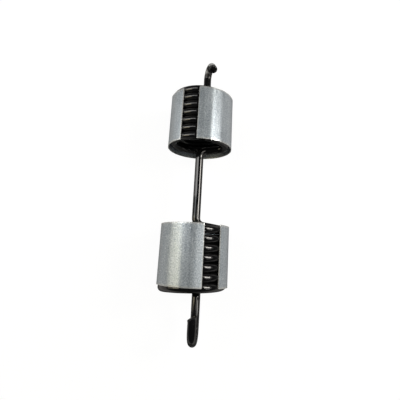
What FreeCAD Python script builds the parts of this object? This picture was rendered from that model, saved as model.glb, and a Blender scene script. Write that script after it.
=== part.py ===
"""Brake shoe return spring: one wound wire with two coils and two end hooks, and a split sheet sleeve
sprung round each coil.

Millimetres. Y runs along the spring towards its short hook and Z is up. The spring lies on its two
sleeves, with the middle of its length over the origin. Azimuths are degrees round the coil axis, from
straight up towards +X, so 180 is the underside.
"""

import FreeCAD
import Part
import math
import os

# Wound wire: the lower coil is right-handed and the upper one mirrors it
WIRE_DIAMETER = 4.2
TURN_GAP = 0.08
COIL_OUTER_DIAMETER = 32.6
STRAND_COUNT = 7
COIL_SPACING = 72.6
ARC_PAIR_COUNT = 3

# Shank: the wire turns in from this side of each coil, sloping towards the middle of the spring
SHANK_SIDE_ANGLE = 90.0
SHANK_EXIT_ANGLE = -26.0
SHANK_SLOPE_ANGLE = 8.0
SHANK_OFFSET = 0.0
SHANK_DEPTH = 0.2

# Legs of the hooks: the wire turns in from the underside of each coil
LEG_SIDE_ANGLE = 180.0
LEG_EXIT_ANGLE = 10.0
LEG_SLOPE_ANGLE = 0.0
LEG_OFFSET = 2.35
LEG_DEPTH = 5.0
AXIAL_BEND_RADIUS = 4.0

# Short hook, at the +Y end: an open bow that ends in a plain cut
SHORT_LEG = 10.9
SHORT_BOW_RADIUS = 5.0
SHORT_BOW_ANGLE = 138.6
SHORT_LEAN_ANGLE = 14.6
SHORT_TIP = 4.3

# Long hook, at the -Y end: a full bow whose return leg was cropped askew, which left a flared lip
LONG_LEG = 12.8
LONG_BOW_RADIUS = 5.25
LONG_LEAN_ANGLE = -6.8
LONG_TIP = 5.8
CROP_ANGLE = 27.0
BURR_LENGTH = 1.0
BURR_LIP = 0.3

# Split sleeves
SHEET = 0.6
SLEEVE_CLEARANCE = 0.1
SLEEVE_LENGTH = 28.4
UPPER_SLEEVE_INSET = 1.5
LOWER_SLEEVE_INSET = 2.1
SLOT_WIDTH_ANGLE = 30.0
UPPER_SLOT_ANGLE = -20.7
LOWER_SLOT_ANGLE = 30.0

# Sizes that follow
FULL_TURN = math.degrees(2 * math.pi)
WIRE_RADIUS = WIRE_DIAMETER / 2
COIL_RADIUS = COIL_OUTER_DIAMETER / 2 - WIRE_RADIUS
PITCH = WIRE_DIAMETER + TURN_GAP
FIRST_AZIMUTH = LEG_SIDE_ANGLE + LEG_EXIT_ANGLE
LAST_AZIMUTH = SHANK_SIDE_ANGLE + SHANK_EXIT_ANGLE
TURNS = STRAND_COUNT - (FIRST_AZIMUTH - LAST_AZIMUTH) / FULL_TURN
COIL_LENGTH = PITCH * TURNS
COIL_INNER_END = (COIL_SPACING - COIL_LENGTH) / 2
COIL_OUTER_END = COIL_INNER_END + COIL_LENGTH
HELIX_ANGLE = math.atan2(PITCH, 2 * math.pi * COIL_RADIUS)
UPPER_SLEEVE_MIDDLE = COIL_SPACING / 2 - UPPER_SLEEVE_INSET
LOWER_SLEEVE_MIDDLE = LOWER_SLEEVE_INSET - COIL_SPACING / 2
SLEEVE_INNER_RADIUS = COIL_OUTER_DIAMETER / 2 + SLEEVE_CLEARANCE
SLEEVE_OUTER_RADIUS = SLEEVE_INNER_RADIUS + SHEET

ORIGIN = FreeCAD.Vector(0, 0, 0)
ALONG = FreeCAD.Vector(0, 1, 0)


def outward(azimuth):
    """Unit vector from the coil axis towards an azimuth."""
    turn = math.radians(azimuth)
    return FreeCAD.Vector(math.sin(turn), 0, math.cos(turn))


def onward(azimuth):
    """Unit vector round the coil axis, the way that azimuth grows."""
    return outward(azimuth + FULL_TURN / 4)


def run(start, heading, length):
    """Straight stretch of centre line, and its far end."""
    end = start + heading * length
    return Part.LineSegment(start, end).toShape(), end


def bend(start, heading, inward, radius, angle):
    """Arc of centre line that sets out along heading and turns towards inward.

    Gives the arc, its far end and the new heading.
    """

    def point(turn):
        return start + (heading * math.sin(turn) + inward * (1 - math.cos(turn))) * radius

    arc = Part.Arc(start, point(angle / 2), point(angle)).toShape()
    return arc, point(angle), heading * math.cos(angle) + inward * math.sin(angle)


def turn_between(heading, goal):
    """Which way inward, and how far, one heading turns to reach another."""
    angle = math.acos(heading.dot(goal))
    inward = (goal - heading * math.cos(angle)) * (1 / math.sin(angle))
    return inward, angle


def arc_pair(start, heading, end, end_heading):
    """Two arcs that meet on one tangent and join two points at given headings.

    The three tangents, at the start, the meeting point and the end, cross at the same setback.
    """
    gap = end - start
    both = heading + end_heading
    lean = gap.dot(both)
    spread = 4 - both.dot(both)
    setback = (math.sqrt(lean**2 + spread * gap.dot(gap)) - lean) / spread
    between = (gap - both * setback) * (1 / (2 * setback))
    inward, angle = turn_between(heading, between)
    first, meeting, _ = bend(start, heading, inward, setback / math.tan(angle / 2), angle)
    inward, angle = turn_between(between, end_heading)
    second, _, _ = bend(meeting, between, inward, setback / math.tan(angle / 2), angle)
    return [first, second]


def on_helix(azimuth, height):
    """Point of the lower coil's centre line at an azimuth and height, and the heading up the coil there."""
    point = outward(azimuth) * COIL_RADIUS + ALONG * height
    return point, onward(azimuth) * math.cos(HELIX_ANGLE) + ALONG * math.sin(HELIX_ANGLE)


def coil_turns():
    """Centre line of the lower coil, a right-hand helix about Y that climbs from its hook end.

    Pairs of tangent arcs follow the helix, so that every face of the wound wire is part of a torus.
    """
    pairs = math.ceil(TURNS * ARC_PAIR_COUNT)
    edges = []
    for n in range(pairs):
        ends = []
        for share in (n / pairs, (n + 1) / pairs):
            azimuth = FIRST_AZIMUTH + FULL_TURN * TURNS * share
            ends += on_helix(azimuth, COIL_LENGTH * share - COIL_OUTER_END)
        edges += arc_pair(*ends)
    return edges


def way_in(start, leaving, side, slope, offset, depth, onto):
    """Centre line from one end of a coil to the foot of the leg or shank there.

    The wire leaves the coil's circle, turns in from a side of the coil to a straight bar that heads for
    the axis with a slope, and bends onto the heading along the spring. The bar passes the axis at offset,
    and the foot is depth short of it. Gives the edges and the foot.
    """
    inwards = outward(side + FULL_TURN / 2)
    across = onward(side + FULL_TURN / 2)
    heading = inwards * math.cos(math.radians(slope)) + onto * math.sin(math.radians(slope))
    inward, turn = turn_between(leaving, heading)
    reach = leaving * math.sin(turn) + inward * (1 - math.cos(turn))
    radius = (offset - start.dot(across)) / reach.dot(across)
    exit_bend, bar_start, _ = bend(start, leaving, inward, radius, turn)
    inward, turn = turn_between(heading, onto)
    room = -bar_start.dot(inwards) - depth - AXIAL_BEND_RADIUS * (1 - math.cos(turn))
    bar, bar_end = run(bar_start, heading, room / heading.dot(inwards))
    axial_bend, foot, _ = bend(bar_end, heading, inward, AXIAL_BEND_RADIUS, turn)
    return [exit_bend, bar, axial_bend], foot


def lower_half():
    """Centre line from the shank through the lower coil to its leg, with the feet of shank and leg."""
    high_end, heading = on_helix(LAST_AZIMUTH, -COIL_INNER_END)
    to_shank, shank_foot = way_in(
        high_end, heading, SHANK_SIDE_ANGLE, SHANK_SLOPE_ANGLE, SHANK_OFFSET, SHANK_DEPTH, ALONG
    )
    low_end, heading = on_helix(FIRST_AZIMUTH, -COIL_OUTER_END)
    to_leg, leg_foot = way_in(
        low_end, -heading, LEG_SIDE_ANGLE, LEG_SLOPE_ANGLE, LEG_OFFSET, LEG_DEPTH, -ALONG
    )
    return to_shank + coil_turns() + to_leg, shank_foot, leg_foot


def across_middle(point):
    """The point's mirror image beyond the middle of the spring."""
    return FreeCAD.Vector(point.x, -point.y, point.z)


def short_hook(foot):
    """Centre line of the short hook, and how far the wire reaches along Y."""
    leg, bow_start = run(foot, ALONG, SHORT_LEG)
    bow_angle = math.radians(SHORT_BOW_ANGLE)
    lean = outward(SHORT_LEAN_ANGLE)
    bow, tip_start, heading = bend(bow_start, ALONG, lean, SHORT_BOW_RADIUS, bow_angle)
    tip, _ = run(tip_start, heading, SHORT_TIP)
    return [leg, bow, tip], bow_start.y + SHORT_BOW_RADIUS + WIRE_RADIUS


def long_hook(foot):
    """Centre line of the long hook, the middle of its cut end, and how far the wire reaches along Y.

    The centre line runs on past the middle of the cut, as far as the cut's askew edge.
    """
    leg, bow_start = run(foot, -ALONG, LONG_LEG)
    bow, tip_start, _ = bend(bow_start, -ALONG, outward(LONG_LEAN_ANGLE), LONG_BOW_RADIUS, math.pi)
    askew = WIRE_DIAMETER * math.tan(math.radians(CROP_ANGLE))
    tip, _ = run(tip_start, ALONG, LONG_TIP + askew)
    cut = tip_start + ALONG * LONG_TIP
    return [leg, bow, tip], cut, bow_start.y - LONG_BOW_RADIUS - WIRE_RADIUS


def drawn_wire(edges):
    """Solid of round wire along a chain of centre-line edges."""
    path = Part.Wire(Part.__sortEdges__(edges))
    first = path.OrderedEdges[0]
    heading = first.tangentAt(first.FirstParameter)
    section = Part.Wire(Part.makeCircle(WIRE_RADIUS, path.OrderedVertexes[0].Point, heading))
    wire = path.makePipeShell([section], True, False)
    section_area = math.pi * WIRE_RADIUS**2
    print("wire length", path.Length, "swept", section_area * path.Length, "volume", wire.Volume)
    return wire


def cropped(wire, cut):
    """The wire cut off askew, with the flared lip that cropping leaves round the cut."""
    turn = math.radians(CROP_ANGLE)
    square_to_cut = FreeCAD.Vector(-math.sin(turn), math.cos(turn), 0)
    waste = Part.makeCylinder(WIRE_DIAMETER, 2 * WIRE_DIAMETER, cut, square_to_cut)
    lip_radius = WIRE_RADIUS / math.cos(turn) + BURR_LIP
    lip_base = cut - square_to_cut * BURR_LENGTH
    lip_root = WIRE_RADIUS * math.cos(turn)
    lip = Part.makeCone(lip_root, lip_radius, BURR_LENGTH, lip_base, square_to_cut)
    return wire.cut(waste).fuse(lip).removeSplitter()


def spring_wire():
    """The whole wire about the Y axis, and the middle of its reach along Y."""
    lower, shank_foot, leg_foot = lower_half()
    upper = Part.Compound(lower).mirror(ORIGIN, ALONG).Edges
    shank = Part.LineSegment(across_middle(shank_foot), shank_foot).toShape()
    short_edges, highest = short_hook(across_middle(leg_foot))
    long_edges, cut, lowest = long_hook(leg_foot)
    wire = drawn_wire(short_edges + upper + [shank] + lower + long_edges)
    return cropped(wire, cut), (highest + lowest) / 2


def sleeve(slot_azimuth, middle):
    """Rolled sheet sleeve round one coil, open along a slot centred on an azimuth."""
    edge = outward(slot_azimuth + SLOT_WIDTH_ANGLE / 2)
    end = ALONG * (middle - SLEEVE_LENGTH / 2)
    inner = edge * SLEEVE_INNER_RADIUS + end
    outer = edge * SLEEVE_OUTER_RADIUS + end
    length = ALONG * SLEEVE_LENGTH
    sheared_edge = Part.Face(Part.makePolygon([inner, outer, outer + length, inner + length, inner]))
    return sheared_edge.revolve(ORIGIN, ALONG, FULL_TURN - SLOT_WIDTH_ANGLE)


def main():
    """Builds the wire and both sleeves and writes one file for each."""
    wire, middle = spring_wire()
    nodes = {
        "spring_wire": wire,
        "upper_sleeve": sleeve(UPPER_SLOT_ANGLE, UPPER_SLEEVE_MIDDLE),
        "lower_sleeve": sleeve(LOWER_SLOT_ANGLE, LOWER_SLEEVE_MIDDLE),
    }
    to_rest = FreeCAD.Vector(0, -middle, SLEEVE_OUTER_RADIUS)
    os.makedirs("parts", exist_ok=True)
    for name, shape in nodes.items():
        placed = shape.translated(to_rest)
        placed.exportStep("parts/" + name + ".step")
        print(name, placed.isValid(), len(placed.Solids), placed.Volume, placed.CenterOfGravity)


main()
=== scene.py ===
"""Looks of a brake shoe return spring: one black wound wire, and a split zinc sleeve round each coil.

Shapes are worked out in millimetres and made in metres. Y runs along the spring towards its short hook and
Z is up. Azimuths are degrees round the coil axis, from straight up towards +X.
"""

import logging
import math
from dataclasses import dataclass, field
from enum import Enum
from functools import cached_property

import bpy
import numpy as np
from mathutils import Matrix, Vector

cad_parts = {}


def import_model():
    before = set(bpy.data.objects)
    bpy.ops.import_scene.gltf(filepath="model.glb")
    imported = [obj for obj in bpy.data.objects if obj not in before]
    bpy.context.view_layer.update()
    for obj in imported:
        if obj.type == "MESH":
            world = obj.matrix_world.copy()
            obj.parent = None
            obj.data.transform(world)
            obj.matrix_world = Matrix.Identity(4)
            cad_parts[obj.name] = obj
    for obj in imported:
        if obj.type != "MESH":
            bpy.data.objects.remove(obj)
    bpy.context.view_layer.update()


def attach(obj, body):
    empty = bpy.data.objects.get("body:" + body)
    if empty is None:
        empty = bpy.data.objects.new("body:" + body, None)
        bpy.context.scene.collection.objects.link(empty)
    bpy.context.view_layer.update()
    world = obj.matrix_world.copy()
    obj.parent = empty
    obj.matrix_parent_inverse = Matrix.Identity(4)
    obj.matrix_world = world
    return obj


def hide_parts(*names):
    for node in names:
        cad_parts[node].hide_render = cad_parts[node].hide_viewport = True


LOG = logging.getLogger("spring")
MILLIMETRE = 0.001
FULL_TURN = 360.0
MIDDLE = 1.075  # half way between the coils, along Y
AXIS_HEIGHT = 17.0  # of the coils, above the floor
STEP = 0.55  # between points along the wire
NOISE_MIDDLE = 0.5
FLAT_MAP = "flat"
ALONG = np.array([0.0, 1.0, 0.0])
Array = np.ndarray
Colour = tuple[float, float, float, float]
Pair = tuple[float, float]
Triple = tuple[float, float, float]
Socket = bpy.types.NodeSocket


class Half(Enum):
    """Half of the spring, as the sign of its place along Y."""

    UPPER = 1
    LOWER = -1


class Mask(Enum):
    """What a mesh's points tell its finish, as the name of their attribute."""

    # Painted sheen: light grey on the upward face of the short hook's top.
    PAINTED_SHEEN = "painted_sheen"
    # Sheared edges, painted lighter, partly as a highlight.
    EDGE = "edge"


def outward(azimuth: Array | float) -> Array:
    """Unit vectors from the coil axis: sine of the azimuth along X and its cosine along Z.

    Args:
        azimuth: Degrees, as one number or an array.

    Returns:
        Vectors along a last axis of three.
    """
    turn = np.radians(azimuth)
    return np.stack([np.sin(turn), np.zeros_like(turn), np.cos(turn)], axis=-1)


def unit(vectors: Array) -> Array:
    """Vectors scaled to length one along their last axis."""
    return vectors / np.linalg.norm(vectors, axis=-1, keepdims=True)


def turn_between(heading: Array, goal: Array) -> tuple[Array, float]:
    """How one unit vector turns to reach another: their angle is the arc cosine of their dot product.

    Args:
        heading: The first unit vector.
        goal: The other one.

    Returns:
        Unit vector square to the heading, towards the goal, and the angle in radians.
    """
    angle = math.acos(float(heading @ goal))
    return (goal - heading * math.cos(angle)) / math.sin(angle), angle


def smooth_step(low: float, high: float, value: Array) -> Array:
    """Rises from 0 at low to 1 at high as 3t^2 - 2t^3, where t is the share of the way."""
    share = np.clip((value - low) / (high - low), 0.0, 1.0)
    return share * share * (3 - 2 * share)


def ring_quads(rows: int, columns: int) -> Array:
    """Four corners of each cell of a grid whose rows close on themselves.

    Args:
        rows: Rows of points.
        columns: Points in each row.

    Returns:
        Corners as row and column, of shape (cells, 4, 2), with the column after the last left uncounted.
    """
    row, column = np.meshgrid(np.arange(rows - 1), np.arange(columns), indexing="ij")
    corners = [(row, column), (row, column + 1), (row + 1, column + 1), (row + 1, column)]
    return np.stack([np.stack(corner, axis=-1) for corner in corners], axis=-2).reshape(-1, 4, 2)


@dataclass
class Surface:
    """A closed mesh in millimetres: points, faces, and a flat map and masks that its finish reads."""

    points: Array
    faces: list[Array] = field(default_factory=list)
    maps: list[Array] = field(default_factory=list)
    masks: dict[Mask, Array] = field(default_factory=dict)

    def add(self, faces: Array, flat: Array) -> None:
        """Adds faces that have one count of corners.

        Args:
            faces: Points' numbers, of shape (faces, corners).
            flat: Millimetres on the flat map, of shape (faces, corners, 2).
        """
        self.faces.append(faces)
        self.maps.append(flat)

    def volume(self) -> float:
        """Enclosed volume: a sixth of the triple products of each face's fan of triangles, added up.

        Returns:
            Cubic millimetres, below zero where the faces point inwards.
        """
        total = 0.0
        for faces in self.faces:
            corners = self.points[faces]
            fans = np.cross(corners[:, 1:-1], corners[:, 2:])
            total += np.einsum("fk,ftk->", corners[:, 0], fans)
        return total / 6

    def piece(self, name: str, node: str, slot: str) -> bpy.types.Object:
        """Makes the mesh, which stands for a node of the frame and rides with it.

        Args:
            name: The new piece's name.
            node: The node that it stands for.
            slot: The record's material slot, which is not used.

        Returns:
            The new object, at the origin.
        """
        if self.volume() < 0:
            self.faces = [faces[:, ::-1] for faces in self.faces]
            self.maps = [flat[:, ::-1] for flat in self.maps]
        mesh = bpy.data.meshes.new(name)
        rows = [row for faces in self.faces for row in faces.tolist()]
        mesh.from_pydata((self.points * MILLIMETRE).tolist(), [], rows)
        mesh.polygons.foreach_set("use_smooth", np.ones(len(rows), dtype=bool))
        flat = np.concatenate([part.reshape(-1) for part in self.maps])
        mesh.uv_layers.new(name=FLAT_MAP).data.foreach_set("uv", flat)
        for mask, values in self.masks.items():
            carried = mesh.attributes.new(mask.value, "FLOAT", "POINT")
            carried.data.foreach_set("value", values.astype(np.float32))
        mesh.update()
        made = bpy.data.objects.new(name, mesh)
        bpy.context.scene.collection.objects.link(made)
        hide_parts(node)
        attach(made, "root")
        return made


@dataclass(frozen=True)
class Signal:
    """A value's socket, which adds Math nodes when it is used in an expression."""

    graph: "Graph"
    socket: Socket

    def math(self, operation: str, *values: "Signal | float") -> "Signal":
        """The result of one Math node.

        Args:
            operation: The Math node's operation.
            values: Its inputs in order.

        Returns:
            The node's value.
        """
        node = self.graph.node("ShaderNodeMath", {"operation": operation}, dict(enumerate(values)))
        return Signal(self.graph, node.outputs[0])

    def __add__(self, other: "Signal | float") -> "Signal":
        """Sum."""
        return self.math("ADD", self, other)

    def __radd__(self, other: float) -> "Signal":
        """Sum."""
        return self.math("ADD", other, self)

    def __sub__(self, other: "Signal | float") -> "Signal":
        """Difference."""
        return self.math("SUBTRACT", self, other)

    def __rsub__(self, other: float) -> "Signal":
        """Difference from a number."""
        return self.math("SUBTRACT", other, self)

    def __mul__(self, other: "Signal | float") -> "Signal":
        """Product."""
        return self.math("MULTIPLY", self, other)

    def __rmul__(self, other: float) -> "Signal":
        """Product."""
        return self.math("MULTIPLY", other, self)

    def __abs__(self) -> "Signal":
        """Size without sign."""
        return self.math("ABSOLUTE", self)

    def above(self, low: float, high: float) -> "Signal":
        """Rises smoothly from 0 at one value to 1 at another.

        Args:
            low: Where it is still 0.
            high: Where it has reached 1.

        Returns:
            The value between 0 and 1.
        """
        settings = {"interpolation_type": "SMOOTHSTEP"}
        node = self.graph.node("ShaderNodeMapRange", settings, {"Value": self, 1: low, 2: high})
        return Signal(self.graph, node.outputs[0])


class Graph:
    """The nodes of one material or of the world."""

    def __init__(self, tree: bpy.types.NodeTree) -> None:
        """Empties the tree."""
        self.tree = tree
        self.tree.nodes.clear()

    def node(self, kind: str, settings: dict | None = None, inputs: dict | None = None) -> bpy.types.Node:
        """Adds one node.

        Args:
            kind: The node's type.
            settings: The node's own properties, which are set first.
            inputs: A number, colour, socket or Signal for each input, by name or place.

        Returns:
            The new node.
        """
        made = self.tree.nodes.new(kind)
        for name, value in (settings or {}).items():
            setattr(made, name, value)
        for name, value in (inputs or {}).items():
            if isinstance(value, Signal):
                value = value.socket
            if isinstance(value, Socket):
                self.tree.links.new(value, made.inputs[name])
            else:
                made.inputs[name].default_value = value
        return made

    def flat_map(self, across: float, along: float) -> Socket:
        """The piece's flat map in millimetres, scaled each way.

        Args:
            across: Scale round the wire or the sleeve.
            along: Scale along it.

        Returns:
            Places on the map.
        """
        flat = self.node("ShaderNodeUVMap", {"uv_map": FLAT_MAP})
        inputs = {"Vector": flat.outputs[0], "Scale": (across, along, 1.0)}
        return self.node("ShaderNodeMapping", None, inputs).outputs[0]

    def place(self) -> Socket:
        """Object coordinates, in metres."""
        return self.node("ShaderNodeTexCoord").outputs["Object"]

    def part(self, vector: Socket, axis: str) -> Signal:
        """A vector's part along X, Y or Z."""
        return Signal(self, self.node("ShaderNodeSeparateXYZ", None, {"Vector": vector}).outputs[axis])

    def seen(self) -> Signal:
        """1 to the camera itself, and 0 to reflections and bounced light."""
        return Signal(self, self.node("ShaderNodeLightPath").outputs["Is Camera Ray"])

    def mask(self, kind: Mask) -> Signal:
        """A mask that the mesh carries at its points."""
        return Signal(self, self.node("ShaderNodeAttribute", {"attribute_name": kind.value}).outputs["Fac"])

    def noise(self, where: Socket, scale: float, detail: float) -> Signal:
        """Cloudy noise about a half."""
        made = self.node("ShaderNodeTexNoise", None, {"Vector": where, "Scale": scale, "Detail": detail})
        return Signal(self, made.outputs[0])

    def mix(self, share: Signal, first: Colour | Socket, second: Colour) -> Socket:
        """A colour that goes from the first to the second as share goes from 0 to 1."""
        made = self.node("ShaderNodeMix", {"data_type": "RGBA"}, {0: share, 6: first, 7: second})
        return made.outputs[2]

    def bump(self, height: Signal, reach: float) -> Socket:
        """Normals of a height from 0 to 1 that stands reach metres high."""
        made = self.node("ShaderNodeBump", None, {"Height": height, "Distance": reach, "Strength": 1.0})
        return made.outputs[0]

    def surface(self, **sockets: object) -> None:
        """Ends the nodes in one shader.

        Args:
            sockets: A value for each of the shader's sockets, with underscores for spaces in its name.
        """
        inputs = {name.replace("_", " "): value for name, value in sockets.items()}
        shader = self.node("ShaderNodeBsdfPrincipled", None, inputs)
        self.node("ShaderNodeOutputMaterial", None, {"Surface": shader.outputs[0]})


def new_material(name: str) -> tuple[bpy.types.Material, Graph]:
    """Makes an empty material.

    Args:
        name: The material's name.

    Returns:
        The material and its nodes.
    """
    made = bpy.data.materials.new(name)
    made.use_nodes = True
    return made, Graph(made.node_tree)


@dataclass(frozen=True)
class BlackEnamel:
    """Thin gloss black on drawn spring wire, dulled in patches, with a sheen painted in light grey, rougher,
    on the upward face of the short hook's top.

    Patches and grain have their scales per metre, and the drawing marks have theirs per millimetre across
    and along the wire. The relief is the height of marks and grain in metres. Dulling adds to the roughness,
    and a pair of levels is where a change starts and where it is complete.
    """

    black: Colour = (0.004, 0.004, 0.0045, 1.0)
    dusty: Colour = (0.009, 0.009, 0.01, 1.0)
    # Light grey of the sheen painted on top of the short hook.
    sheen_grey: Colour = (0.6, 0.615, 0.63, 1.0)
    gloss: float = 0.06
    shine: float = 1.55
    sheen_metal: float = 0.2
    patch_scale: float = 160.0
    patch_levels: Pair = (0.45, 0.75)
    patch_dulling: float = 0.05
    drawn_scale: Pair = (2.4, 0.12)
    drawn_dulling: float = 0.04
    drawn_share: float = 0.6
    grain_scale: float = 2600.0
    sheen_levels: Pair = (0.1, 0.5)
    sheen_dulling: float = 0.4
    sheen_share_levels: Pair = (0.66, 1.0)
    sheen_mark_levels: Pair = (0.2, 0.5)
    relief: float = 0.0000012

    @cached_property
    def material(self) -> bpy.types.Material:
        """The finish as a material.

        Returns:
            The material, which is made once.
        """
        made, graph = new_material("black_enamel")
        patches = graph.noise(graph.place(), scale=self.patch_scale, detail=3.0)
        drawn = graph.noise(graph.flat_map(*self.drawn_scale), scale=1.0, detail=3.0)
        grain = graph.noise(graph.place(), scale=self.grain_scale, detail=2.0)
        marks = self.drawn_share * drawn + (1 - self.drawn_share) * grain
        # Painted sheen: the mask turns the enamel light grey and rougher on the short hook's upward top,
        # standing in for a reflection.
        painted_sheen = graph.mask(Mask.PAINTED_SHEEN)
        sheen_share = painted_sheen.above(*self.sheen_share_levels) * marks.above(*self.sheen_mark_levels)
        colour = graph.mix(patches.above(*self.patch_levels), self.black, self.dusty)
        dullness = self.gloss + self.patch_dulling * (patches - NOISE_MIDDLE)
        dullness += self.drawn_dulling * (drawn - NOISE_MIDDLE)
        graph.surface(
            Base_Color=graph.mix(sheen_share, colour, self.sheen_grey),
            Roughness=dullness + self.sheen_dulling * painted_sheen.above(*self.sheen_levels),
            Metallic=self.sheen_metal * sheen_share,
            Normal=graph.bump(marks, self.relief),
            IOR=self.shine,
        )
        return made


@dataclass(frozen=True)
class ZincSheet:
    """Satin zinc on rolled sheet: faint spangle, streaks along it, fine grain, and sheared edges painted
    lighter, partly the cut edge's own grey and partly a painted highlight.

    Scales are per millimetre round and along the sleeve. The relief is the height of streaks and grain in
    metres, and dulling adds to the roughness. The tone mixes streaks, spangle and grain by its shares, and
    goes from dark to light between its levels.
    """

    light: Colour = (0.54, 0.59, 0.63, 1.0)
    dark: Colour = (0.24, 0.285, 0.335, 1.0)
    # Sheared edge colour: the cut edge's grey, lightened as a painted highlight along the edges.
    sheared: Colour = (0.56, 0.58, 0.58, 1.0)
    satin: float = 0.34
    metal: float = 0.5
    streak_scale: Pair = (1.1, 0.035)
    streak_dulling: float = 0.2
    spangle_scale: Pair = (0.5, 0.34)
    spangle_dulling: float = 0.08
    grain_scale: Pair = (1.9, 1.5)
    edge_polish: float = 0.08
    tone_shares: Triple = (0.22, 0.06, 0.72)
    tone_levels: Pair = (0.3, 0.72)
    relief: float = 0.00008
    streak_relief: float = 0.2

    @cached_property
    def material(self) -> bpy.types.Material:
        """The finish as a material.

        Returns:
            The material, which is made once for both sleeves.
        """
        made, graph = new_material("satin_zinc")
        streaks = graph.noise(graph.flat_map(*self.streak_scale), scale=1.0, detail=4.0)
        grain = graph.noise(graph.flat_map(*self.grain_scale), scale=1.0, detail=1.0)
        inputs = {"Vector": graph.flat_map(*self.spangle_scale), "Scale": 1.0}
        cells = graph.node("ShaderNodeTexVoronoi", None, inputs)
        crystal = graph.node("ShaderNodeSeparateColor", None, {"Color": cells.outputs["Color"]})
        spangle = Signal(graph, crystal.outputs[0])
        streak_share, spangle_share, grain_share = self.tone_shares
        tone = streak_share * streaks + spangle_share * spangle + grain_share * grain
        # The edge mask paints the sheared edges lighter, partly as a painted highlight, and makes them
        # smoother.
        edge = graph.mask(Mask.EDGE)
        colour = graph.mix(tone.above(*self.tone_levels), self.dark, self.light)
        dullness = self.satin + self.streak_dulling * (streaks - NOISE_MIDDLE)
        dullness += self.spangle_dulling * (spangle - NOISE_MIDDLE)
        height = self.streak_relief * streaks + (1 - self.streak_relief) * grain
        graph.surface(
            Base_Color=graph.mix(edge, colour, self.sheared),
            Roughness=dullness - self.edge_polish * edge,
            Metallic=self.metal,
            Normal=graph.bump(height, self.relief),
        )
        return made


def even_shares(length: float) -> Array:
    """Even shares of the way along a length, at most a step apart, with the first left out."""
    return np.linspace(0.0, 1.0, math.ceil(length / STEP) + 1)[1:, None]


def untwisted_frames(path: Array) -> tuple[Array, Array, Array]:
    """Headings along a path and two directions across it that do not twist.

    A first pair square to the heading is carried from point to point by the least turn, and the twists
    that it shows against the next pair, added up, are turned back.

    Args:
        path: Points of shape (points, 3).

    Returns:
        Headings and the two directions, each of the path's shape.
    """
    heading = unit(np.gradient(path, axis=0))
    aside = np.eye(3)[np.abs(heading).argmin(axis=1)]
    first = unit(np.cross(heading, aside))
    second = np.cross(heading, first)
    here, there = heading[:-1], heading[1:]
    lean = (first[:-1] * there).sum(axis=1) / (1 + (here * there).sum(axis=1))
    carried = first[:-1] - lean[:, None] * (here + there)
    twist = np.arctan2((carried * second[1:]).sum(axis=1), (carried * first[1:]).sum(axis=1))
    turn = np.concatenate([[0.0], np.cumsum(twist)])[:, None]
    across = first * np.cos(turn) + second * np.sin(turn)
    return heading, across, np.cross(heading, across)


@dataclass
class Pen:
    """Draws a centre line in straight runs and bends, with a point every step."""

    point: Array
    heading: Array
    stretches: list[Array] = field(default_factory=list)

    def run(self, length: float) -> "Pen":
        """Goes straight on: the point, plus shares of the length along the heading.

        Args:
            length: Millimetres to go.

        Returns:
            The pen itself.
        """
        self.stretches.append(self.point + self.heading * length * even_shares(length))
        self.point = self.stretches[-1][-1]
        return self

    def bend(self, inward: Array, radius: float, angle: float) -> "Pen":
        """Turns by an angle: radius times the heading's sine and inward's one less cosine.

        Args:
            inward: Unit vector from the line to the bend's centre.
            radius: The bend's radius.
            angle: Radians.

        Returns:
            The pen itself.
        """
        turn = angle * even_shares(radius * angle)
        reach = self.heading * np.sin(turn) + inward * (1 - np.cos(turn))
        self.stretches.append(self.point + reach * radius)
        self.point = self.stretches[-1][-1]
        self.heading = self.heading * math.cos(angle) + inward * math.sin(angle)
        return self

    def line(self) -> Array:
        """Every point drawn so far."""
        return np.concatenate(self.stretches)


@dataclass(frozen=True)
class WayIn:
    """How the wire comes in from a coil's circle to run along the spring.

    It leaves the circle at an azimuth and turns in from a side of the coil to a sloping bar. The bar passes
    the axis at an offset, and bends to run along the spring, depth short of the axis.
    """

    azimuth: float
    side: float
    slope: float
    offset: float
    depth: float


class CoilEnd(Enum):
    """End of the lower coil, as the sign of the way along Y that the wire leaves it."""

    SHANK = 1
    LEG = -1


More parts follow.
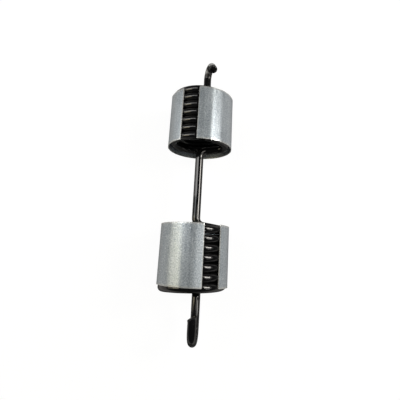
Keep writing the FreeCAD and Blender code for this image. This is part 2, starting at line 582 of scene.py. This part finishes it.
@dataclass
class SpringWire:
    """The one wire: short hook, upper coil, shank, lower coil and long hook."""

    finish: BlackEnamel
    radius: float = 2.1
    coil_radius: float = 14.2
    pitch: float = 4.28
    strands_on_top: float = 7.0
    coil_spacing: float = 72.6
    shank_way: WayIn = WayIn(azimuth=64.0, side=90.0, slope=8.0, offset=0.0, depth=0.2)
    leg_way: WayIn = WayIn(azimuth=190.0, side=180.0, slope=0.0, offset=2.35, depth=5.0)
    axial_bend: float = 4.0
    short_leg: float = 10.9
    short_bow: float = 5.0
    short_turn: float = 138.6
    short_lean: float = 14.6
    short_tip: float = 4.3
    long_leg: float = 12.8
    long_bow: float = 5.25
    long_lean: float = -6.8
    long_tip: float = 5.8
    crop_angle: float = 27.0
    crop_reach: float = 3.0
    burr_length: float = 1.0
    burr_lip: float = 0.3
    edge_break: float = 0.15
    sides: int = 24
    # Where the sheen is painted: near the top of the short hook, on its upward side, fading out at its cut
    # end.
    sheen_depth: Pair = (2.6, 9.0)
    sheen_facing: Pair = (-0.3, 0.5)
    sheen_free_tip: float = 0.8

    def way(self, end: CoilEnd) -> WayIn:
        """The way in from one end of the lower coil."""
        return self.leg_way if end is CoilEnd.LEG else self.shank_way

    def coil_length(self) -> float:
        """From one end of a coil's centre line to the other, along Y."""
        short_of_full = (self.leg_way.azimuth - self.shank_way.azimuth) / FULL_TURN
        return self.pitch * (self.strands_on_top - short_of_full)

    def coil_end(self, end: CoilEnd) -> Pen:
        """A pen at one end of the lower coil.

        Args:
            end: The coil's end.

        Returns:
            The pen, headed along the helix and away from the coil.
        """
        azimuth = self.way(end).azimuth
        height = (end.value * self.coil_length() - self.coil_spacing) / 2
        slope = math.atan2(self.pitch, 2 * math.pi * self.coil_radius)
        upward = outward(azimuth + 90) * math.cos(slope) + ALONG * math.sin(slope)
        return Pen(outward(azimuth) * self.coil_radius + ALONG * height, upward * end.value)

    def turn_in(self, end: CoilEnd) -> Pen:
        """Draws the wire in from one end of the lower coil to the foot of the leg or shank.

        The exit bend's radius is the one that brings the bar to its offset from the axis.

        Args:
            end: The coil's end.

        Returns:
            The pen, headed along the spring.
        """
        way = self.way(end)
        onto = ALONG * end.value
        inwards, aside = outward(way.side + 180), outward(way.side + 270)
        lean = math.radians(way.slope)
        bar = inwards * math.cos(lean) + onto * math.sin(lean)
        pen = self.coil_end(end)
        inward, turn = turn_between(pen.heading, bar)
        reach = pen.heading * math.sin(turn) + inward * (1 - math.cos(turn))
        pen.bend(inward, float((way.offset - pen.point @ aside) / (reach @ aside)), turn)
        inward, turn = turn_between(bar, onto)
        to_go = -float(pen.point @ inwards) - way.depth - self.axial_bend * (1 - math.cos(turn))
        return pen.run(to_go / math.cos(lean)).bend(inward, self.axial_bend, turn)

    def coil(self) -> Array:
        """Centre line of the lower coil: a right-hand helix about Y.

        Each point is the coil's radius outwards at an azimuth that grows evenly with the way along Y.

        Returns:
            Points from the coil's low end, of shape (points, 3).
        """
        turns = self.coil_length() / self.pitch
        share = np.linspace(0.0, 1.0, math.ceil(turns * 2 * math.pi * self.coil_radius / STEP))[:, None]
        azimuth = self.leg_way.azimuth + FULL_TURN * turns * share[:, 0]
        low = (self.coil_spacing + self.coil_length()) / 2
        return outward(azimuth) * self.coil_radius + ALONG * (self.coil_length() * share - low)

    def centre_line(self) -> Array:
        """The whole wire's centre line: the upper half is the lower one with Y reversed, but for its hook.

        Returns:
            Points from the long hook's cut end to the short hook's, of shape (points, 3).
        """
        mirrored = np.array([1.0, -1.0, 1.0])
        long_end = self.turn_in(CoilEnd.LEG).run(self.long_leg)
        long_end.bend(outward(self.long_lean), self.long_bow, math.pi).run(self.long_tip)
        short_end = self.turn_in(CoilEnd.LEG).run(self.short_leg)
        short_end.bend(outward(self.short_lean), self.short_bow, math.radians(self.short_turn))
        short_end.run(self.short_tip)
        coil = self.coil()
        back = self.turn_in(CoilEnd.SHANK).line()[::-1][1:] * mirrored
        shank = self.turn_in(CoilEnd.SHANK)
        shank.run(-2 * float(shank.point[1]))
        lower = [long_end.line()[::-1], coil, shank.line()]
        upper = [back, coil[::-1] * mirrored, short_end.line() * mirrored]
        return np.concatenate(lower + upper) + np.array([0.0, MIDDLE, AXIS_HEIGHT])

    def surface(self) -> Surface:
        """A circle carried along the centre line, flared and askew at the long hook's cut, ends closed.

        Each point is the centre line's point, plus the radius there times the cosine and sine of the angle
        round the wire along the two directions across it. Towards the cut, points slide along Y by the
        tangent of the crop's angle times their place across it. One more ring at each end breaks its edge.

        Returns:
            The wire's surface, with the mask of where a sheen is painted on top of the short hook.
        """
        path = self.centre_line()
        heading, across, beside = untwisted_frames(path)
        reach = np.concatenate([[0.0], np.cumsum(np.linalg.norm(np.diff(path, axis=0), axis=1))])
        crop = math.radians(self.crop_angle)
        lip_radius = self.radius / math.cos(crop) + self.burr_lip
        flare = np.clip(1 - reach / self.burr_length, 0.0, 1.0)
        askew = 1 - smooth_step(0.0, self.crop_reach, reach)
        radius = self.radius + (lip_radius - self.radius) * flare
        last = len(path) - 1
        station = np.concatenate([[0, 0], np.arange(1, last), [last, last]])
        size = radius[station]
        size[[0, -1]] -= self.edge_break
        slide = np.zeros(len(station))
        slide[1] = self.edge_break
        slide[-2] = -self.edge_break
        angle = np.linspace(0.0, 2 * math.pi, self.sides, endpoint=False)[None, :, None]
        spokes = across[station][:, None] * np.cos(angle) + beside[station][:, None] * np.sin(angle)
        offset = spokes * size[:, None, None]
        offset[..., 0] *= 1 - (1 - math.cos(crop)) * flare[station][:, None]
        offset[..., 1] += math.tan(crop) * askew[station][:, None] * offset[..., 0]
        centre = path[station] + heading[station] * slide[:, None]
        rings = centre[:, None] + offset
        poles = path[[0, last]]
        made = Surface(np.concatenate([rings.reshape(-1, 3), poles]))
        cells = ring_quads(len(station), self.sides)
        girth = 2 * math.pi * self.radius / self.sides
        flat = np.stack([cells[..., 1] * girth, reach[station][cells[..., 0]]], axis=-1)
        made.add(cells[..., 0] * self.sides + cells[..., 1] % self.sides, flat)
        for pole, ring in enumerate((0, len(station) - 1)):
            edge = np.arange(self.sides)
            ends = ring * self.sides + np.stack([edge, (edge + 1) % self.sides], axis=-1)
            tip = np.full((self.sides, 1), len(made.points) - len(poles) + pole)
            fan = np.concatenate([tip, ends if ring else ends[:, ::-1]], axis=1)
            made.add(fan, np.zeros((self.sides, 3, 2)))
        # Painted sheen: near the top of the short hook, on the side that faces up, and not at its cut end.
        seat = path[:, 1].max() + self.radius - rings[..., 1]
        to_cut = reach[-1] - reach[station]
        facing_up = smooth_step(*self.sheen_facing, spokes[..., 2])
        off_tip = smooth_step(0.0, self.sheen_free_tip, to_cut)[:, None]
        painted_sheen = (1 - smooth_step(*self.sheen_depth, seat)) * facing_up * off_tip
        made.masks[Mask.PAINTED_SHEEN] = np.concatenate([painted_sheen.reshape(-1), np.zeros(len(poles))])
        return made

    def build(self) -> bpy.types.Object:
        """Makes the wire in place of its node, and dresses it.

        Returns:
            The new object.
        """
        made = self.surface().piece("wound_wire", "spring_wire", "black_wire")
        self.dress(made)
        return made

    def dress(self, made: bpy.types.Object) -> None:
        """Gives the wire its enamel."""
        made.data.materials.append(self.finish.material)


@dataclass
class Sleeve:
    """A strip of sheet rolled round one coil, open along a slot."""

    finish: ZincSheet
    half: Half
    slot_azimuth: float
    offset: float
    sheet: float = 0.6
    outer_radius: float = AXIS_HEIGHT
    length: float = 28.4
    slot_angle: float = 30.0
    edge_break: float = 0.07
    flat_angle: float = 19.0
    flat_depth: float = 0.09
    flat_azimuth: float = 29.0
    # How far in from the sheared edges the painted highlight fades out.
    edge_glint_reach: Pair = (0.05, 0.3)
    least_rounding: float = 0.01
    corner_points: int = 5
    face_points: int = 221
    length_points: int = 29

    def outline(self, inset: Array) -> tuple[Array, Array]:
        """Rounded oblong that the sheet's section unrolls to, drawn in by an inset.

        Its points run along the outer face from one sheared edge to the other, and back along the inner.
        Each corner is a quarter circle, its centre as far in from both faces as the corner's radius.

        Args:
            inset: How far each outline is drawn in, of shape (rows, 1).

        Returns:
            Places round the sleeve and depths from the sheet's middle, each of shape (rows, points).
        """
        half_sheet = self.sheet / 2
        half_girth = math.radians(FULL_TURN - self.slot_angle) * (self.outer_radius - half_sheet) / 2
        corner = np.radians(np.linspace(0.0, 90.0, self.corner_points))[None, :]
        rounding = np.maximum(self.edge_break - inset, self.least_rounding)
        near = half_girth - inset - rounding
        deep = half_sheet - inset - rounding
        face = np.linspace(-1.0, 1.0, self.face_points)[None, 1:-1] * near
        level = np.broadcast_to(half_sheet - inset, face.shape)
        corner_along = -near - rounding * np.cos(corner)
        corner_depth = deep + rounding * np.sin(corner)
        along = np.concatenate([corner_along, face, -corner_along[:, ::-1]], axis=1)
        depth = np.concatenate([corner_depth, level, corner_depth[:, ::-1]], axis=1)
        there_and_back = np.concatenate([along, along[:, ::-1]], axis=1)
        return there_and_back, np.concatenate([depth, -depth[:, ::-1]], axis=1)

    def surface(self) -> Surface:
        """The oblong carried along Y and rolled round the axis, drawn in at both ends to break their edges.

        The place round the sleeve over the sheet's middle radius is the azimuth from opposite the slot, and
        the depth adds to that radius. Flats that rolling leaves dip the outer face by a cosine wave of the
        azimuth.

        Returns:
            The sleeve's surface, with the mask of its sheared edges, where a highlight is partly painted.
        """
        middle_radius = self.outer_radius - self.sheet / 2
        arc = np.radians(np.linspace(0.0, 90.0, self.corner_points))
        broken = self.edge_break * (1 - np.sin(arc))
        depth_in = self.edge_break * (1 - np.cos(arc))
        body = np.linspace(self.edge_break, self.length - self.edge_break, self.length_points)[1:-1]
        height = np.concatenate([depth_in, body, self.length - depth_in[::-1]])[:, None]
        inset = np.concatenate([broken, np.zeros(len(body)), broken[::-1]])[:, None]
        along, depth = self.outline(inset)
        turn = along / middle_radius
        azimuth = np.degrees(turn) + self.slot_azimuth + 180.0
        flats = 0.5 + 0.5 * np.cos(2 * math.pi * (azimuth - self.flat_azimuth) / self.flat_angle)
        outside = smooth_step(-self.sheet / 2, self.sheet / 2, depth)
        radius = middle_radius + depth - self.flat_depth * flats * outside
        grid = outward(azimuth) * radius[..., None]
        grid[..., 1] = height - self.length / 2 + self.offset * self.half.value + MIDDLE
        grid[..., 2] += self.outer_radius
        rows, columns = along.shape
        made = Surface(grid.reshape(-1, 3))
        flat = np.stack([along, np.broadcast_to(height, along.shape)], axis=-1).reshape(-1, 2)
        cells = ring_quads(rows, columns)
        sides = cells[..., 0] * columns + cells[..., 1] % columns
        made.add(sides, flat[sides])
        step = np.arange(columns // 2 - 1)
        lid = np.stack([step, step + 1, columns - 2 - step, columns - 1 - step], axis=-1)
        made.add(lid[:, ::-1], flat[lid[:, ::-1]])
        far = lid + (rows - 1) * columns
        made.add(far, flat[far])
        # Painted highlight along the sheared edges, at the slot and at both ends.
        to_slot = np.abs(along).max() - np.abs(along)
        to_end = np.minimum(height, self.length - height)
        made.masks[Mask.EDGE] = 1 - smooth_step(*self.edge_glint_reach, np.minimum(to_slot, to_end)).reshape(-1)
        return made

    def build(self) -> bpy.types.Object:
        """Makes the sleeve in place of its node, and dresses it.

        Returns:
            The new object.
        """
        name = self.half.name.lower()
        made = self.surface().piece(name + "_split_sleeve", name + "_sleeve", "zinc_sheet")
        self.dress(made)
        return made

    def dress(self, made: bpy.types.Object) -> None:
        """Gives the sleeve its zinc."""
        made.data.materials.append(self.finish.material)


def grey(level: float) -> Colour:
    """A grey of this level."""
    return level, level, level, 1.0


@dataclass(frozen=True)
class SoftBox:
    """A studio light: an even strip from one point to another, turned to face the spring."""

    start: Triple
    end: Triple
    width: float
    power: float
    tint: Triple

    def hang(self, name: str, target: Vector) -> None:
        """Makes the light, square to the line from its middle to a target.

        Args:
            name: The light's name.
            target: The point that it faces.
        """
        start, end = Vector(self.start), Vector(self.end)
        place = (start + end) / 2
        lengthwise = (end - start).normalized()
        rear = place - target
        rear = (rear - lengthwise * rear.dot(lengthwise)).normalized()
        light = bpy.data.lights.new(name, "AREA")
        light.shape = "RECTANGLE"
        light.size, light.size_y = self.width, (end - start).length
        light.energy = self.power
        light.color = self.tint
        made = bpy.data.objects.new(name, light)
        turned = Matrix((lengthwise.cross(rear), lengthwise, rear)).transposed()
        made.matrix_world = Matrix.LocRotScale(place, turned.to_quaternion(), None)
        bpy.context.scene.collection.objects.link(made)


@dataclass(frozen=True)
class Studio:
    """Floor, surrounding light, soft boxes and camera, in metres.

    The camera's frame is shifted as the photograph's is. The floor and the room look pale, but are dimmer
    to reflections, above all the floor under the spring and the room overhead.
    """

    eye: Triple = (0.000832, -0.034717, 0.179485)
    right: Triple = (0.998433, 0.053923, 0.014929)
    above: Triple = (-0.055951, 0.962234, 0.266410)
    back: Triple = (0.0, -0.266828, 0.963744)
    lens: float = 28.768
    frame_shift: float = -0.075
    nearest: float = 0.01
    target: Triple = (0.0, 0.0, 0.017)
    floor_side: float = 6.0
    floor_tone: float = 0.06
    floor_roughness: float = 0.9
    floor_glow: float = 0.95
    floor_bounce: Colour = (0.49, 0.465, 0.44, 1.0)
    floor_shade: float = 0.05
    shaded: Pair = (0.024, 0.045)
    room_tint: Colour = (0.93, 0.97, 1.0, 1.0)
    room_glow: float = 0.75
    room_dim: float = 0.07
    overhead_drop: float = 0.035
    overhead: Pair = (0.0, 0.5)
    # Five boxes light the spring from the right and six from the left, where the warm ones are for the
    # lower sleeve.
    boxes: tuple[SoftBox, ...] = (
        SoftBox((0.38, 0.045, 0.325), (0.38, 0.17, 0.325), 0.17, 1.1, (1.0, 0.955, 0.885)),
        SoftBox((0.345, 0.2, 0.365), (0.345, 0.34, 0.365), 0.12, 0.36, (1.0, 0.96, 0.87)),
        SoftBox((0.396, -0.1, 0.305), (0.396, 0.26, 0.305), 0.24, 0.18, (1.0, 0.98, 0.94)),
        SoftBox((0.396, -0.14, 0.305), (0.396, -0.1, 0.305), 0.13, 0.125, (1.0, 0.98, 0.94)),
        SoftBox((0.17, -0.13, 0.47), (0.17, 0.07, 0.47), 0.16, 0.27, (1.0, 0.95, 0.87)),
        SoftBox((-0.39, -0.12, 0.325), (-0.39, 0.05, 0.325), 0.18, 0.32, (1.0, 0.88, 0.62)),
        SoftBox((-0.46, -0.13, 0.17), (-0.46, 0.05, 0.17), 0.2, 0.16, (1.0, 0.9, 0.68)),
        SoftBox((-0.36, 0.03, 0.35), (-0.36, 0.09, 0.35), 0.26, 0.12, (0.95, 0.98, 1.0)),
        SoftBox((-0.31, 0.09, 0.395), (-0.31, 0.18, 0.395), 0.34, 0.5, (1.0, 0.98, 0.96)),
        SoftBox((-0.34, -0.1, 0.37), (-0.34, 0.24, 0.37), 0.46, 0.1, (0.95, 0.98, 1.0)),
        SoftBox((-0.473, 0.09, 0.145), (-0.473, 0.26, 0.145), 0.25, 0.32, (1.0, 0.98, 0.95)),
    )

    def lay_floor(self) -> None:
        """Lays a level pale sheet with a glow of its own; its glow to reflections is painted bounce light,
        with a painted shadow in a strip under the spring.
        """
        side = self.floor_side / 2
        mesh = bpy.data.meshes.new("studio_floor")
        points = [(-side, -side, 0.0), (side, -side, 0.0), (side, side, 0.0), (-side, side, 0.0)]
        mesh.from_pydata(points, [], [(0, 1, 2, 3)])
        made, graph = new_material("pale_floor")
        # Painted shadow: to reflections the floor glows dim in a strip under the spring and brighter to each
        # side.
        beside = abs(graph.part(graph.place(), "X")).above(*self.shaded)
        reflected = graph.mix(beside, grey(self.floor_shade), self.floor_bounce)
        graph.surface(
            Base_Color=grey(self.floor_tone),
            Roughness=self.floor_roughness,
            Emission_Color=graph.mix(graph.seen(), reflected, grey(self.floor_glow)),
            Emission_Strength=1.0,
        )
        mesh.materials.append(made)
        floor = bpy.data.objects.new("studio_floor", mesh)
        bpy.context.scene.collection.objects.link(floor)

    def light(self) -> None:
        """Hangs the soft boxes in a room with a glow of its own."""
        world = bpy.data.worlds.new("studio")
        world.use_nodes = True
        graph = Graph(world.node_tree)
        height = graph.part(graph.node("ShaderNodeTexCoord").outputs["Generated"], "Z")
        dim = self.room_dim - self.overhead_drop * height.above(*self.overhead)
        inputs = {"Color": self.room_tint, "Strength": dim + self.room_glow * graph.seen()}
        room = graph.node("ShaderNodeBackground", None, inputs)
        graph.node("ShaderNodeOutputWorld", None, {"Surface": room.outputs[0]})
        bpy.context.scene.world = world
        for number, box in enumerate(self.boxes):
            box.hang("soft_box_" + str(number + 1), Vector(self.target))

    def set_camera(self) -> None:
        """Stands the camera where the spring is seen from."""
        camera = bpy.data.cameras.new("camera")
        camera.lens = self.lens
        camera.shift_y = self.frame_shift
        camera.clip_start = self.nearest
        made = bpy.data.objects.new("camera", camera)
        rows = list(zip(self.right, self.above, self.back, self.eye))
        made.matrix_world = Matrix(rows + [(0.0, 0.0, 0.0, 1.0)])
        bpy.context.scene.collection.objects.link(made)
        bpy.context.scene.camera = made
        bpy.context.scene.view_settings.view_transform = "Standard"


def main() -> None:
    """Builds and dresses the pieces in order, sets the studio, and leaves the CAD pieces hidden in the
    scene.
    """
    logging.basicConfig(level=logging.INFO, format="%(message)s")
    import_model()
    zinc = ZincSheet()
    makers = [
        SpringWire(BlackEnamel()),
        Sleeve(zinc, Half.UPPER, slot_azimuth=-20.7, offset=34.8),
        Sleeve(zinc, Half.LOWER, slot_azimuth=30.0, offset=34.2, flat_azimuth=-31.0, flat_depth=0.06),
    ]
    for maker in makers:
        made = maker.build()
        LOG.info("%s: %d faces", made.name, len(made.data.polygons))
    studio = Studio()
    studio.lay_floor()
    studio.light()
    studio.set_camera()


if __name__ == "__main__":
    main()
